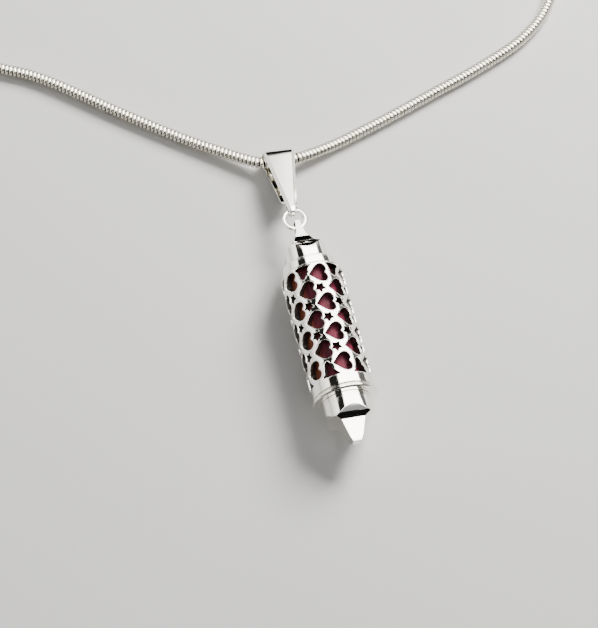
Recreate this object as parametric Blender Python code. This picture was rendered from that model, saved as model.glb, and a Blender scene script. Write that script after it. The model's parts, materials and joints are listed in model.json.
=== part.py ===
"""Mezuzah case pendant: an openwork silver tube with a screw cap, lying on its side on a flat
surface, hung by a jump ring and a folded bail on a snake chain with a lobster clasp.

Frame: +Y runs from the cap's tip to the bail, +Z is up, and z = 0 is the surface it lies on.
The origin is under the middle of the pendant, from the tip to the bail's fold.
"""

import math

import bmesh
import bpy
from mathutils import Vector

mm = 0.001

# --- case, from the tip of the screw cap upwards along +Y ---------------------------------
tip_finial_length = 4.9 * mm
cap_skirt_length = 2.3 * mm
cap_radius = 3.9 * mm
rim_length = 0.9 * mm
rim_radius = 5.2 * mm
sleeve_length = 21.6 * mm
sleeve_radius = 5.0 * mm
sleeve_wall = 1.15 * mm
collar_length = 1.7 * mm
collar_radius = 4.4 * mm
top_cap_length = 2.0 * mm
top_cap_radius = 3.45 * mm
lug_length = 6.6 * mm
case_roll = math.radians(4.0)
edge_break = 0.2 * mm
facets = 24
cap_facets = 32

# --- the four-sided finials, each size measured from the round part it grows out of --------
facet_back = 1.0 * mm
tip_facet_run = 0.9 * mm
tip_facet_chord = 4.4 * mm
tip_step_run = 1.49 * mm
tip_step_width = 3.8 * mm
tip_end_width = 2.15 * mm
tip_end_chamfer = 0.75 * mm
tip_end_flat = 1.3 * mm
lug_facet_run = 0.8 * mm
lug_facet_chord = 3.4 * mm
lug_step_run = 2.12 * mm
lug_step_width = 3.24 * mm
lug_base_run = 3.18 * mm
lug_base_width = 2.3 * mm
lug_neck_run = 4.6 * mm
lug_neck_thick = 1.24 * mm
lug_neck_width = 2.0 * mm
lug_end_thick = 0.76 * mm
lug_end_width = 1.7 * mm
lug_end_chamfer = 0.2 * mm

# --- fits inside the case -----------------------------------------------------------------
seat_gap = 0.1 * mm
radial_gap = 0.1 * mm
liner_wall = 0.4 * mm
plug_length = 1.5 * mm
stud_radius = 1.9 * mm
bush_length = 3.0 * mm
thread_radius = 3.2 * mm
thread_length = 2.6 * mm
thread_pitch = 0.5 * mm
thread_depth = 0.18 * mm
scroll_radius = 2.75 * mm
scroll_core = 0.9 * mm
scroll_sheet = 0.32 * mm
scroll_turns = 3.2
scroll_clearance = 0.5 * mm
tie_width = 1.2 * mm
tie_thickness = 0.22 * mm
tie_gap = 0.12 * mm

# --- heart and star openwork --------------------------------------------------------------
columns = 12
heart_size = 3.1 * mm
heart_pitch = 5.28 * mm
first_heart = 2.1 * mm
star_size = 1.35 * mm
star_shift = 0.35 * mm
rib = 0.45 * mm
plain_rim = 0.4 * mm
plain_band = 1.7 * mm

# --- lug, jump ring, bail -----------------------------------------------------------------
lug_hole_drop = 1.3 * mm
lug_hole_radius = 0.68 * mm
ring_wire = 0.75 * mm
ring_outer = 4.2 * mm
ring_shift = -0.15 * mm
bail_sheet = 0.45 * mm
bail_length = 11.2 * mm
bail_lean = math.radians(3.5)
bail_top_width = 5.2 * mm
bail_low_width = 1.2 * mm
bail_wire_gap = 0.34 * mm
chain_clearance = 0.6 * mm
floor_gap = 0.05 * mm

# --- chain, clasp -------------------------------------------------------------------------
chain_diameter = 2.0 * mm
chain_in_bail = 0.35 * mm
coil_turns = 4
coil_pitch = 2.15 * mm
coil_inner = 7.5 * mm
coil_centre = (42.8 * mm, 72.2 * mm)
touch_gap = 0.3 * mm
end_cap_radius = 1.35 * mm
end_cap_length = 3.6 * mm
end_cap_bore = 1.12 * mm
end_cap_depth = 2.4 * mm
eye_length = 1.8 * mm
eye_radius = 1.0 * mm
eye_hole = 0.65 * mm
eye_thickness = 0.8 * mm
end_cap_mouth_edge = 0.15 * mm
end_cap_shoulder = 0.5 * mm
small_wire = 0.55 * mm
small_ring_outer = 3.6 * mm
end_ring_outer = 3.6 * mm
clasp_length = 9.0 * mm
clasp_radius = 2.7 * mm
clasp_thickness = 2.0 * mm
clasp_rim = 1.1 * mm
clasp_eye_radius = 1.35 * mm
clasp_eye_hole = 0.8 * mm
clasp_eye_thickness = 0.6 * mm
clasp_eye_slack = 0.05 * mm
lever_thickness = 0.9 * mm
lever_pin_at = (2.35 * mm, -0.75 * mm)
pin_radius = 0.35 * mm
pin_gap = 0.06 * mm

# --- places that follow from the sizes above ----------------------------------------------
case_length = (tip_finial_length + cap_skirt_length + rim_length + sleeve_length
               + collar_length + top_cap_length + lug_length)
ring_mean = (ring_outer - ring_wire) / 2
fold_inner = chain_diameter / 2 + chain_clearance
fold_outer = fold_inner + bail_sheet
curl_inner = ring_wire / 2 + bail_wire_gap
curl_outer = curl_inner + bail_sheet
bail_rise = bail_length * math.cos(bail_lean)
bail_reach = fold_outer * math.cos(bail_lean) + bail_top_width / 2 * math.sin(bail_lean)
pendant_length = case_length - lug_hole_drop + 2 * ring_mean + bail_rise + bail_reach
axis_z = rim_radius
tip_y = -pendant_length / 2
skirt_y = tip_y + tip_finial_length
rim_y = skirt_y + cap_skirt_length
sleeve_y = rim_y + rim_length
collar_y = sleeve_y + sleeve_length
top_cap_y = collar_y + collar_length
lug_y = top_cap_y + top_cap_length
lug_top_y = lug_y + lug_length
hole_y = lug_top_y - lug_hole_drop
curl_y = hole_y + 2 * ring_mean
bail_pivot = Vector((ring_shift + bail_length * math.sin(bail_lean), curl_y + bail_rise,
                     fold_outer + floor_gap))
liner_outer = sleeve_radius - sleeve_wall - radial_gap
liner_inner = liner_outer - liner_wall

SILVER = ((0.86, 0.85, 0.82), 0.12, 1.0)
CHAIN_SILVER = ((0.80, 0.78, 0.70), 0.18, 1.0)
MAROON = ((0.28, 0.03, 0.05), 0.45, 0.0)
PARCHMENT = ((0.78, 0.68, 0.50), 0.75, 0.0)
LINEN = ((0.70, 0.62, 0.50), 0.80, 0.0)

for old in list(bpy.data.objects):
    bpy.data.objects.remove(old, do_unlink=True)


def finish(name, look):
    """A Principled material for one piece."""
    colour, roughness, metallic = look
    material = bpy.data.materials.new(name)
    material.use_nodes = True
    shader = material.node_tree.nodes["Principled BSDF"]
    shader.inputs["Base Color"].default_value = (*colour, 1.0)
    shader.inputs["Roughness"].default_value = roughness
    shader.inputs["Metallic"].default_value = metallic
    return material


def empty(name, place, turn=(0.0, 0.0, 0.0), parent=None):
    holder = bpy.data.objects.new(name, None)
    bpy.context.collection.objects.link(holder)
    holder.location = place
    holder.rotation_euler = turn
    holder.parent = parent
    return holder


def make(name, points, faces, look=None, parent=None, place=(0, 0, 0), turn=(0, 0, 0)):
    """One closed mesh object. With no look it is a cutter."""
    mesh = bpy.data.meshes.new(name)
    mesh.from_pydata([tuple(p) for p in points], [], faces)
    shape = bmesh.new()
    shape.from_mesh(mesh)
    bmesh.ops.recalc_face_normals(shape, faces=shape.faces)
    shape.to_mesh(mesh)
    shape.free()
    piece = bpy.data.objects.new(name, mesh)
    bpy.context.collection.objects.link(piece)
    piece.parent = parent
    piece.location = place
    piece.rotation_euler = turn
    if look is None:
        piece.hide_render = True
        piece.display_type = "WIRE"
    else:
        mesh.materials.append(finish(name, look))
    return piece


def smooth(piece):
    piece.data.shade_smooth()
    piece.data.set_sharp_from_angle(angle=math.radians(35.0))
    return piece


def turned(profile, steps=facets, loop=False):
    """Points and faces of a profile of (y, r) turned about the Y axis, with flats facing +-Z.
    A loop profile makes a tube; otherwise both ends lie on the axis."""
    points = []
    rows = []
    for y, r in profile:
        if r == 0.0:
            rows.append([len(points)])
            points.append((0.0, y, 0.0))
            continue
        rows.append(list(range(len(points), len(points) + steps)))
        for k in range(steps):
            a = 2 * math.pi * (k + 0.5) / steps
            points.append((r * math.sin(a), y, r * math.cos(a)))
    pairs = list(zip(rows, rows[1:]))
    if loop:
        pairs.append((rows[-1], rows[0]))
    faces = []
    for low, high in pairs:
        for k in range(steps):
            n = (k + 1) % steps
            if len(low) == 1:
                faces.append((low[0], high[k], high[n]))
            elif len(high) == 1:
                faces.append((low[k], low[n], high[0]))
            else:
                faces.append((low[k], low[n], high[n], high[k]))
    return points, faces


def prism(outline, low, high, plane="xy"):
    """An outline pushed from low to high along the axis that its plane leaves free."""
    lay = {"xy": lambda u, v, w: (u, v, w), "yz": lambda u, v, w: (w, u, v),
           "xz": lambda u, v, w: (u, w, v)}[plane]
    count = len(outline)
    points = [lay(u, v, low) for u, v in outline] + [lay(u, v, high) for u, v in outline]
    faces = [tuple(range(count)), tuple(range(2 * count - 1, count - 1, -1))]
    for k in range(count):
        n = (k + 1) % count
        faces.append((k, n, count + n, count + k))
    return points, faces


def loft(sections):
    """Rings of equal count joined one after the next, with flat ends."""
    count = len(sections[0])
    points = [p for ring in sections for p in ring]
    faces = [tuple(range(count)), tuple(range(len(points) - 1, len(points) - count - 1, -1))]
    for row in range(len(sections) - 1):
        for k in range(count):
            n = (k + 1) % count
            a = row * count
            faces.append((a + k, a + n, a + count + n, a + count + k))
    return points, faces


def circle(radius, steps, centre=(0.0, 0.0)):
    return [(centre[0] + radius * math.cos(2 * math.pi * k / steps),
             centre[1] + radius * math.sin(2 * math.pi * k / steps)) for k in range(steps)]


def belt(first, first_radius, second, second_radius, steps=10):
    """The outline that wraps two round ends, as a belt does two pulleys."""
    a = Vector(first)
    b = Vector(second)
    run = b - a
    heading = math.atan2(run.y, run.x)
    spread = math.acos((first_radius - second_radius) / run.length)
    outline = []
    for centre, radius, start, sweep in ((a, first_radius, heading + spread, 2 * math.pi - 2 * spread),
                                         (b, second_radius, heading - spread, 2 * spread)):
        for k in range(steps + 1):
            angle = start + sweep * k / steps
            outline.append((centre.x + radius * math.cos(angle), centre.y + radius * math.sin(angle)))
    return outline


def torus(mean, wire, around=24, section=8):
    """A ring of round wire in the XY plane."""
    points = []
    for i in range(around):
        a = 2 * math.pi * i / around
        for j in range(section):
            b = 2 * math.pi * j / section
            reach = mean + wire / 2 * math.cos(b)
            points.append((reach * math.cos(a), reach * math.sin(a), wire / 2 * math.sin(b)))
    faces = []
    for i in range(around):
        for j in range(section):
            i2 = (i + 1) % around
            j2 = (j + 1) % section
            faces.append((i * section + j, i2 * section + j, i2 * section + j2, i * section + j2))
    return points, faces


def join(shapes):
    """Several separate closed shapes in one cutter."""
    points = []
    faces = []
    for more_points, more_faces in shapes:
        base = len(points)
        points += list(more_points)
        faces += [tuple(base + i for i in face) for face in more_faces]
    return points, faces


def combine(piece, operation, shape, name, parent=None, place=(0, 0, 0), turn=(0, 0, 0)):
    """A Boolean on the piece, with the tool standing in the piece's own place."""
    tool = make(name, *shape, parent=parent, place=place, turn=turn)
    step = piece.modifiers.new(name, "BOOLEAN")
    step.operation = operation
    step.solver = "EXACT"
    step.object = tool
    return piece


# ------------------------------------------------------------------ the case and its parts
ring_pin = empty("jump_ring_pivot", (ring_shift, curl_y, axis_z))
case = empty("case_pivot", (0.0, hole_y, axis_z), (0.0, case_roll, 0.0))


def on_case(name, shape, look, y=0.0):
    """A piece built about the case's own axis, whose y is counted from the frame's origin."""
    return smooth(make(name, *shape, look=look, parent=case, place=(0.0, y - hole_y, 0.0)))


def cut_case(piece, operation, shape, name, y=0.0):
    return combine(piece, operation, shape, name, parent=case, place=(0.0, y - hole_y, 0.0))


def heart(size, steps=12):
    """A fat heart: its point towards -u, its notch towards +u."""
    outline = []
    for k in range(steps):
        t = 2 * math.pi * k / steps
        across = 16 * math.sin(t) ** 3
        along = 13 * math.cos(t) - 5 * math.cos(2 * t) - 2 * math.cos(3 * t) - math.cos(4 * t)
        outline.append(((along + 2.5) / 29 * size, across / 32 * size))
    return outline


def star(size):
    """A fat five-pointed star with one point down."""
    outline = []
    for k in range(10):
        reach = size / 2 * (1.0 if k % 2 == 0 else 0.58)
        a = -math.pi / 2 + math.pi * k / 5
        outline.append((reach * math.cos(a), reach * math.sin(a)))
    return outline


def end_opening(away):
    """The larger opening between two hearts and the plain end of the tube, with its wide side
    at v = 0 and its narrow side at v = away, one rib short of the next heart."""
    spacing = 2 * math.pi * sleeve_radius / columns
    waist = spacing - heart_size / 2 - rib
    side = math.copysign(1.0, away)
    deep = abs(away)
    shape = [(-0.50 * spacing, 0.0), (0.68 * spacing, 0.0), (0.46 * spacing, 0.24 * deep),
             (1.1 * waist, 0.52 * deep), (0.9 * waist, 0.80 * deep), (0.05 * spacing, deep),
             (-0.8 * waist, 0.84 * deep), (-waist, 0.50 * deep), (-0.30 * spacing, 0.22 * deep)]
    return [(u, side * v) for u, v in shape]


def through_wall(outline, column_angle, y):
    """The outline, wrapped on the tube's wall at an angle and height, cut towards the axis."""
    points = []
    for reach in (liner_outer - 0.2 * mm, sleeve_radius + 0.8 * mm):
        for u, v in outline:
            a = column_angle + u / sleeve_radius
            points.append((reach * math.sin(a), y + v, reach * math.cos(a)))
    count = len(outline)
    faces = [tuple(range(count)), tuple(range(2 * count - 1, count - 1, -1))]
    for k in range(count):
        n = (k + 1) % count
        faces.append((k, n, count + n, count + k))
    return points, faces


def openwork():
    """Hearts column by column, every other column half a pitch lower, with stars between."""
    cuts = []
    for column in range(columns):
        angle = 2 * math.pi * column / columns
        odd = column % 2
        top = sleeve_length - first_heart - odd * heart_pitch / 2
        count = 3 if odd else 4
        for k in range(count):
            y = top - k * heart_pitch
            cuts.append(through_wall(heart(heart_size), angle, y))
            if k < count - 1:
                shifted = [(u - star_shift, v) for u, v in star(star_size)]
                cuts.append(through_wall(shifted, angle, y - heart_pitch / 2))
        if odd:
            high = sleeve_length - plain_rim
            cuts.append(through_wall(end_opening(top + heart_size / 2 + rib - high), angle, high))
            last = top - (count - 1) * heart_pitch
            cuts.append(through_wall(end_opening(last - heart_size / 2 - rib - plain_band), angle,
                                     plain_band))
    return join(cuts)


inner = sleeve_radius - sleeve_wall
sleeve = on_case("openwork_sleeve", turned([
    (0.0, inner), (0.0, sleeve_radius), (sleeve_length - edge_break, sleeve_radius),
    (sleeve_length, sleeve_radius - edge_break), (sleeve_length, inner)], loop=True), SILVER, sleeve_y)
cut_case(sleeve, "DIFFERENCE", openwork(), "openwork_cutter", sleeve_y)

liner_length = sleeve_length - bush_length - 2 * seat_gap
on_case("liner_tube", turned([
    (0.0, liner_inner), (0.0, liner_outer), (liner_length, liner_outer),
    (liner_length, liner_inner)], loop=True), MAROON, sleeve_y + bush_length + seat_gap)

plug_radius = liner_inner - radial_gap
collar = on_case("shoulder_collar", turned([
    (-plug_length, stud_radius + radial_gap), (-plug_length, plug_radius), (seat_gap, plug_radius),
    (seat_gap, collar_radius), (collar_length - edge_break, collar_radius),
    (collar_length, collar_radius - edge_break), (collar_length, stud_radius + radial_gap)],
    loop=True), SILVER, collar_y)


def four_sided(stations):
    """Square sections (y, half_x, half_z) along Y, joined into one cutting shape."""
    return loft([[(-x, y, -z), (x, y, -z), (x, y, z), (-x, y, z)] for y, x, z in stations])


def facet_start(radius, chord, run, back):
    """Where a shoulder facet that leaves the round at 0 and reaches a flat chord would lie
    further back, so that the cutting shape clears the round there."""
    flat = math.sqrt(radius ** 2 - (chord / 2) ** 2)
    return radius + back * (radius - flat) / run, flat


stud_end = seat_gap - collar_length - plug_length
top_cap = on_case("top_cap", turned([
    (stud_end, 0.0), (stud_end, stud_radius), (seat_gap, stud_radius), (seat_gap, top_cap_radius),
    (top_cap_length + lug_length, top_cap_radius), (top_cap_length + lug_length, 0.0)], cap_facets),
    SILVER, top_cap_y)
outside, flat = facet_start(top_cap_radius, lug_facet_chord, lug_facet_run, facet_back)
clear = 2 * top_cap_radius
cut_case(top_cap, "INTERSECT", four_sided([
    (stud_end - top_cap_length - clear, clear, clear), (-1.5 * facet_back, clear, clear),
    (-facet_back, outside, outside), (lug_facet_run, flat, flat),
    (lug_step_run, lug_step_width / 2, lug_step_width / 2),
    (lug_base_run, lug_base_width / 2, lug_base_width / 2),
    (lug_neck_run, lug_neck_thick / 2, lug_neck_width / 2),
    (lug_length - lug_end_chamfer, lug_end_thick / 2, lug_end_width / 2),
    (lug_length, lug_end_thick / 2 - lug_end_chamfer / 2, lug_end_width / 2 - lug_end_chamfer)]),
    "lug_blank", lug_y)
cut_case(top_cap, "DIFFERENCE", prism(circle(lug_hole_radius, 16, (hole_y, 0.0)),
                                      -lug_base_width, lug_base_width, "yz"), "lug_hole_cutter")

bush_bore = thread_radius + radial_gap
on_case("threaded_bush", turned([
    (0.0, bush_bore), (0.0, inner - radial_gap), (bush_length - seat_gap, inner - radial_gap),
    (bush_length - seat_gap, bush_bore)], loop=True), SILVER, sleeve_y)

on_case("rim_ring", turned([
    (0.0, thread_radius + radial_gap), (0.0, rim_radius - edge_break), (edge_break, rim_radius),
    (rim_length - seat_gap - edge_break, rim_radius),
    (rim_length - seat_gap, rim_radius - edge_break),
    (rim_length - seat_gap, thread_radius + radial_gap)], loop=True), SILVER, rim_y)


def screw_profile(start, length):
    """A cut thread's crests and roots, run out before the plain end."""
    rows = [(start, thread_radius - thread_depth)]
    turns = int(length / thread_pitch)
    for k in range(turns):
        y = start + (k + 0.25) * thread_pitch
        rows += [(y, thread_radius - thread_depth), (y + 0.25 * thread_pitch, thread_radius),
                 (y + 0.45 * thread_pitch, thread_radius)]
    rows.append((start + (turns + 0.15) * thread_pitch, thread_radius - thread_depth))
    return rows


thread_start = cap_skirt_length + rim_length + seat_gap
bottom_cap = on_case("bottom_cap", turned(
    [(-tip_finial_length, 0.0), (-tip_finial_length, cap_radius),
     (cap_skirt_length - seat_gap, cap_radius),
     (cap_skirt_length - seat_gap, thread_radius - thread_depth)]
    + screw_profile(thread_start, thread_length)
    + [(thread_start + thread_length, 0.0)], cap_facets), SILVER, skirt_y)
outside, flat = facet_start(cap_radius, tip_facet_chord, tip_facet_run, facet_back)
clear = 2 * cap_radius
cut_case(bottom_cap, "INTERSECT", four_sided([
    (-tip_finial_length, tip_end_flat / 2, tip_end_flat / 2),
    (tip_end_chamfer - tip_finial_length, tip_end_width / 2, tip_end_width / 2),
    (-tip_step_run, tip_step_width / 2, tip_step_width / 2), (-tip_facet_run, flat, flat),
    (facet_back, outside, outside), (1.5 * facet_back, clear, clear),
    (thread_start + thread_length + clear, clear, clear)]), "tip_blank", skirt_y)


def rolled_sheet():
    """A sheet rolled up from the core outwards, as a closed outline."""
    steps = int(scroll_turns * 20)
    growth = (scroll_radius - scroll_core - scroll_sheet) / scroll_turns
    inner_side = []
    outer_side = []
    for k in range(steps + 1):
        a = 2 * math.pi * scroll_turns * k / steps
        r = scroll_core + growth * a / (2 * math.pi)
        inner_side.append((r * math.cos(a), r * math.sin(a)))
        outer_side.append(((r + scroll_sheet) * math.cos(a), (r + scroll_sheet) * math.sin(a)))
    return inner_side + outer_side[::-1]


scroll_low = sleeve_y + bush_length + scroll_clearance
scroll_length = collar_y - plug_length - scroll_clearance - scroll_low
on_case("parchment_scroll", prism(rolled_sheet(), 0.0, scroll_length, "xz"), PARCHMENT, scroll_low)
tie_inner = scroll_radius + tie_gap
on_case("scroll_tie", turned([
    (0.0, tie_inner), (0.0, tie_inner + tie_thickness), (tie_width, tie_inner + tie_thickness),
    (tie_width, tie_inner)], loop=True), LINEN, scroll_low + scroll_length / 2 - tie_width / 2)

# ------------------------------------------------------------------ jump ring and bail
smooth(make("jump_ring", *torus(ring_mean, ring_wire), look=SILVER, parent=ring_pin,
            place=(0.0, -ring_mean, 0.0)))

bail_axis = empty("bail_pivot", bail_pivot, (0.0, 0.0, -bail_lean))
curl = (-bail_length, axis_z - bail_pivot.z)
meet = (curl[0] + 1.15 * curl_outer, curl[1] - 0.10 * mm)
half_top = bail_top_width / 2
half_low = bail_low_width / 2
low_end = curl[0] - curl_outer
plan = [(-half_top, fold_outer + floor_gap), (half_top, fold_outer + floor_gap),
        (half_low, low_end - floor_gap), (-half_low, low_end - floor_gap)]
bail = make("bail", *prism(belt((0.0, 0.0), fold_outer, meet, bail_sheet, 12), -half_top, half_top, "yz"),
            look=SILVER, parent=bail_axis)
combine(bail, "UNION", prism(belt(meet, bail_sheet * 0.98, curl, curl_outer, 8), -half_low * 1.15,
                             half_low * 1.15, "yz"), "bail_curl_blank", bail_axis)
combine(bail, "DIFFERENCE", prism(belt((0.0, 0.0), fold_inner, meet, 0.06 * mm, 12),
                                  -2 * half_top, 2 * half_top, "yz"), "bail_opening_cutter", bail_axis)
combine(bail, "DIFFERENCE", prism(circle(curl_inner, 16, curl), -half_top, half_top, "yz"),
        "bail_wire_cutter", bail_axis)
combine(bail, "INTERSECT", prism(plan, -2 * fold_outer, 3 * fold_outer + axis_z), "bail_plan_cutter",
        bail_axis)
smooth(bail)


# ------------------------------------------------------------------ chain on the surface
def smooth_curve(route, parts=24):
    """Fine points on a smooth curve through the route, so many to each of its spans."""
    ends = [route[0] * 2 - route[1]] + route + [route[-1] * 2 - route[-2]]
    fine = []
    for k in range(1, len(ends) - 2):
        a, b, c, d = ends[k - 1:k + 3]
        for j in range(parts):
            t = j / parts
            fine.append(0.5 * ((2 * b) + (c - a) * t + (2 * a - 5 * b + 4 * c - d) * t * t
                               + (3 * b - a - 3 * c + d) * t ** 3))
    fine.append(route[-1])
    return [Vector((p.x, p.y, max(p.z, chain_diameter / 2))) for p in fine]


def spaced(fine, step):
    """Evenly spaced points along the fine ones, both ends kept."""
    lengths = [0.0]
    for p, q in zip(fine, fine[1:]):
        lengths.append(lengths[-1] + (q - p).length)
    count = max(1, round(lengths[-1] / step))
    points = []
    k = 0
    for n in range(count + 1):
        want = lengths[-1] * n / count
        while k < len(fine) - 2 and lengths[k + 1] < want:
            k += 1
        part = (want - lengths[k]) / max(1e-12, lengths[k + 1] - lengths[k])
        points.append(fine[k].lerp(fine[k + 1], min(1.0, part)))
    return points


def tube(name, points, diameter, look):
    curve = bpy.data.curves.new(name, "CURVE")
    curve.dimensions = "3D"
    curve.bevel_depth = diameter / 2
    curve.bevel_resolution = 2
    curve.use_fill_caps = True
    line = curve.splines.new("POLY")
    line.points.add(len(points) - 1)
    for point, place in zip(line.points, points):
        point.co = (*place, 1.0)
    piece = bpy.data.objects.new(name, curve)
    bpy.context.collection.objects.link(piece)
    curve.materials.append(finish(name, look))
    return piece


lie = chain_diameter / 2
along = Vector((math.cos(bail_lean), -math.sin(bail_lean), 0.0))
across = Vector((math.sin(bail_lean), math.cos(bail_lean), 0.0))
in_bail = bail_pivot + across * chain_in_bail - Vector((0.0, 0.0, 0.1 * mm))
left_route = [(-50.2, 64.4), (-48.2, 60.0), (-44.9, 56.4), (-40.9, 53.6), (-35.9, 51.0), (-31.2, 47.6),
              (-23.2, 41.0), (-14.3, 34.1)]
right_route = [(11.8, 28.0), (20.4, 30.9), (29.3, 34.2), (37.8, 37.4), (46.4, 41.4), (52.4, 46.4),
               (56.2, 53.0)]
coil_x, coil_y = coil_centre
coil_outer = coil_inner + coil_turns * coil_pitch
meeting = math.radians(-33.0)
lead_in = coil_outer + chain_diameter + touch_gap
route = [Vector((x * mm, y * mm, lie)) for x, y in left_route]
sunk = Vector((0.0, 0.0, 0.5 * mm))
side = half_top + 0.5 * mm
route.append(in_bail - along * (half_top + 4.0 * mm) + across * 1.9 * mm - sunk)
enter = len(route)
route += [in_bail - along * side, in_bail - along * side / 2, in_bail, in_bail + along * side / 2,
          in_bail + along * side]
leave = len(route) - 1
route.append(in_bail + along * (half_top + 3.6 * mm) + across * 0.95 * mm - sunk)
route += [Vector((x * mm, y * mm, lie)) for x, y in right_route]
route.append(Vector((coil_x + lead_in * math.cos(meeting), coil_y + lead_in * math.sin(meeting), lie)))
fine = smooth_curve(route)
step = 2.2 * chain_diameter
run = (spaced(fine[:24 * enter + 1], step)[:-1] + [fine[24 * enter], fine[24 * leave]]
       + spaced(fine[24 * leave:], step)[1:])
tube("chain_run", run, chain_diameter, CHAIN_SILVER)

ring_in = coil_inner - lie
ring_out = coil_outer + lie
coil_profile = [(0.0, ring_in), (0.0, ring_out), (chain_diameter, ring_out), (chain_diameter, ring_in)]
coil_points, coil_faces = turned(coil_profile, 32, loop=True)
smooth(make("chain_coil", [(x, z, y) for x, y, z in coil_points], coil_faces, look=CHAIN_SILVER,
            place=(coil_x, coil_y, 0.0)))

tail_bend = 4.3 * mm
tail_centre = Vector((coil_x + coil_inner - tail_bend, coil_y, lie))
tail_out = math.radians(130.0)


def on_tail(angle):
    return tail_centre + Vector((math.cos(angle), math.sin(angle), 0.0)) * tail_bend


tail_heading = Vector((-math.sin(tail_out), math.cos(tail_out), 0.0))
tail_mouth = on_tail(tail_out)
tail = [on_tail(math.radians(95.0 + 7.0 * k)) for k in range(6)]
tail.append(tail_mouth + tail_heading * (end_cap_depth - touch_gap))
tube("chain_tail", tail, chain_diameter, CHAIN_SILVER)


def cap_eye(reach, thickness):
    """The flat eye that stands out of an end cap, in the surface's plane."""
    return prism(belt((reach - end_cap_shoulder, 0.0), 0.85 * eye_radius,
                      (reach + eye_length - eye_radius, 0.0), eye_radius), -thickness / 2, thickness / 2)


def end_cap(name, mouth, heading):
    """A cup soldered on the chain's end, with a flat eye beyond it."""
    angle = math.atan2(heading.y, heading.x)
    holder = empty(name + "_axis", (mouth.x, mouth.y, end_cap_radius + floor_gap), (0.0, 0.0, angle))
    cup = turned([(0.0, 0.0), (0.0, end_cap_radius - end_cap_mouth_edge),
                  (end_cap_mouth_edge, end_cap_radius), (end_cap_length - end_cap_shoulder, end_cap_radius),
                  (end_cap_length, end_cap_radius - end_cap_shoulder), (end_cap_length, 0.0)], 20)
    cup = [(y, -x, z) for x, y, z in cup[0]], cup[1]
    piece = make(name, *cup, look=CHAIN_SILVER, parent=holder)
    bore = turned([(-1.0 * mm, 0.0), (-1.0 * mm, end_cap_bore), (end_cap_depth, end_cap_bore),
                   (end_cap_depth, 0.0)], 20)
    bore = [(y, -x, z - end_cap_radius - floor_gap + lie) for x, y, z in bore[0]], bore[1]
    combine(piece, "UNION", cap_eye(end_cap_length, eye_thickness), name + "_eye_blank", holder)
    combine(piece, "DIFFERENCE", bore, name + "_bore_cutter", holder)
    hole = prism(circle(eye_hole, 14, (end_cap_length + eye_length - eye_radius, 0.0)),
                 -1.5 * mm, 1.5 * mm)
    combine(piece, "DIFFERENCE", hole, name + "_eye_cutter", holder)
    return smooth(piece), holder


left_heading = (run[0] - run[1]).normalized()
left_mouth = run[0] - left_heading * (end_cap_depth - touch_gap)
left_cap, left_axis = end_cap("end_cap_clasp", left_mouth, left_heading)
tail_cap, tail_axis = end_cap("end_cap_tail", tail_mouth, tail_heading)

eye_x = end_cap_length + eye_length - eye_radius
small_mean = (small_ring_outer - small_wire) / 2


def upright_ring(name, outer, holder, x):
    """A wire ring standing on edge through an eye, in the plane of the chain's own line."""
    mean = (outer - small_wire) / 2
    rise = outer / 2 - end_cap_radius
    swing = math.sqrt(mean * mean - rise * rise)
    points, faces = torus(mean, small_wire, 20, 8)
    points = [(px, pz, py) for px, py, pz in points]
    return smooth(make(name, points, faces, look=CHAIN_SILVER, parent=holder,
                       place=(x + swing, 0.0, rise)))


upright_ring("clasp_ring", small_ring_outer, left_axis, eye_x)
upright_ring("tail_ring", end_ring_outer, tail_axis, eye_x)

# ------------------------------------------------------------------ lobster clasp
clasp_z = clasp_thickness / 2 - end_cap_radius
ring_centre_x = eye_x + math.sqrt(small_mean ** 2 - (small_ring_outer / 2 - end_cap_radius) ** 2)
clasp_drop = (small_ring_outer - clasp_thickness) / 2
clasp_eye_x = ring_centre_x + math.sqrt(small_mean ** 2 - clasp_drop ** 2) - clasp_eye_slack
clasp_pivot = empty("clasp_pivot", (clasp_eye_x, 0.0, clasp_z), (0.0, 0.0, 0.0), left_axis)
hook_x = clasp_length - clasp_radius - clasp_eye_radius
half_t = clasp_thickness / 2

clasp = make("clasp_body", *prism(belt((0.0, 0.0), clasp_eye_radius, (hook_x, 0.0), clasp_radius, 14),
                                  -half_t, half_t), look=CHAIN_SILVER, parent=clasp_pivot)
combine(clasp, "DIFFERENCE", prism(circle(clasp_radius - clasp_rim, 18, (hook_x, 0.0)),
                                   -2 * half_t, 2 * half_t), "clasp_mouth_cutter", clasp_pivot)
gate = [(lever_pin_at[0] - 0.95 * mm, 0.1 * mm), (hook_x + 1.25 * mm, 0.1 * mm),
        (hook_x + 1.25 * mm, -4.0 * mm), (lever_pin_at[0] - 0.95 * mm, -4.0 * mm)]
slot_half = lever_thickness / 2 + seat_gap
combine(clasp, "DIFFERENCE", prism(gate, -slot_half, slot_half), "clasp_slot_cutter", clasp_pivot)
window = [(lever_pin_at[0] + 1.3 * mm, -1.0 * mm), (hook_x + 1.25 * mm, -1.0 * mm),
          (hook_x + 1.25 * mm, -4.0 * mm), (lever_pin_at[0] + 1.3 * mm, -4.0 * mm)]
combine(clasp, "DIFFERENCE", prism(window, -2 * half_t, 2 * half_t), "clasp_gate_cutter", clasp_pivot)
combine(clasp, "DIFFERENCE", prism(circle(clasp_eye_hole, 16), -2 * half_t, 2 * half_t),
        "clasp_eye_cutter", clasp_pivot)
eye_plate = clasp_eye_thickness / 2
eye_cut = [(-3 * mm, -3 * mm), (1.0 * mm, -3 * mm), (1.0 * mm, 3 * mm), (-3 * mm, 3 * mm)]
for name, low, high in (("high", eye_plate, 2 * half_t), ("low", -2 * half_t, -eye_plate)):
    combine(clasp, "DIFFERENCE", prism(eye_cut, low, high), "clasp_eye_thinner_" + name, clasp_pivot)
combine(clasp, "DIFFERENCE", prism(circle(pin_radius + pin_gap, 14, lever_pin_at),
                                   -2 * half_t, 2 * half_t), "clasp_pin_cutter", clasp_pivot)
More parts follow.
